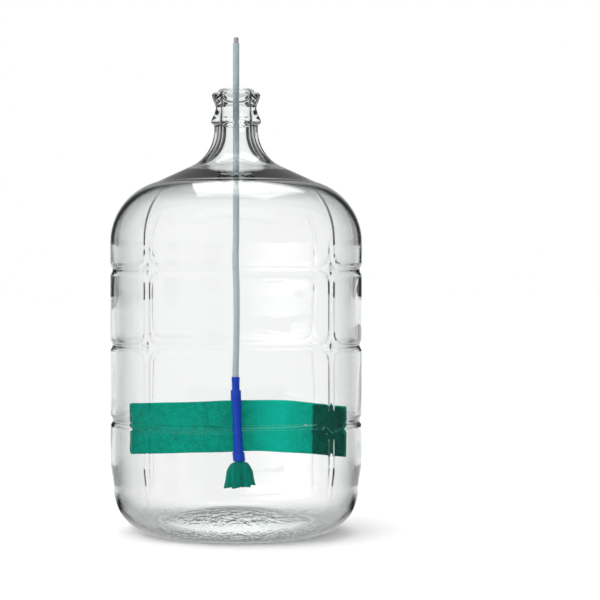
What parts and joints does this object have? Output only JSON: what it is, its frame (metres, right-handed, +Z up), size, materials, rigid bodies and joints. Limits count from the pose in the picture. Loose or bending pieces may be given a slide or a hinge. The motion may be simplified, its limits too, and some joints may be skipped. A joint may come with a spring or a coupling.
{
  "type": "glass carboy",
  "caption": "Panelled glass carboy with a two-ring mouth and a drill-driven cleaning wand of cloth strips, scouring pads and a cloth tuft inside.",
  "frame": {"origin": "middle of the foot ring, on the surface that the carboy stands on", "axes": "+Z up along the bottle's axis towards the mouth; +X to the right and -Y towards a viewer who sees the cloth strips spread across the bottle"},
  "size_m": [0.2758, 0.2758, 0.544],
  "materials": {
    "clear_glass": "clear pressed glass, stippled under the heel",
    "rod_steel": "drawn steel rod, satin",
    "sleeve_plastic": "grey-green extruded plastic, matte",
    "blue_tubing": "blue flexible tubing, semi-gloss",
    "green_cloth": "looped microfibre cloth",
    "scouring_pad": "coarse non-woven scouring pad"
  },
  "bodies": {
    "carboy": {"carboy_glass": "clear_glass"},
    "sleeve": {"shaft_sleeve": "sleeve_plastic"},
    "wand": {"drive_rod": "rod_steel", "coupling_tube": "blue_tubing", "holder_tube": "blue_tubing", "end_collar": "blue_tubing", "upper_strip": "green_cloth", "lower_strip": "green_cloth", "upper_right_pad": "scouring_pad", "upper_left_pad": "scouring_pad", "lower_right_pad": "scouring_pad", "lower_left_pad": "scouring_pad", "bottom_tuft": "green_cloth"}
  },
  "joints": [
    {"name": "wand_lift", "type": "slide", "parent": "carboy", "child": "sleeve", "axis": [0, 0, 1], "range_m": [-0.024, 0.45], "deforming": ["upper_strip", "lower_strip", "upper_right_pad", "upper_left_pad", "lower_right_pad", "lower_left_pad", "bottom_tuft"]},
    {"name": "wand_spin", "type": "hinge", "parent": "sleeve", "child": "wand", "pos_m": [0, 0, 0.3], "axis": [0, 0, 1], "continuous": true}
  ]
}
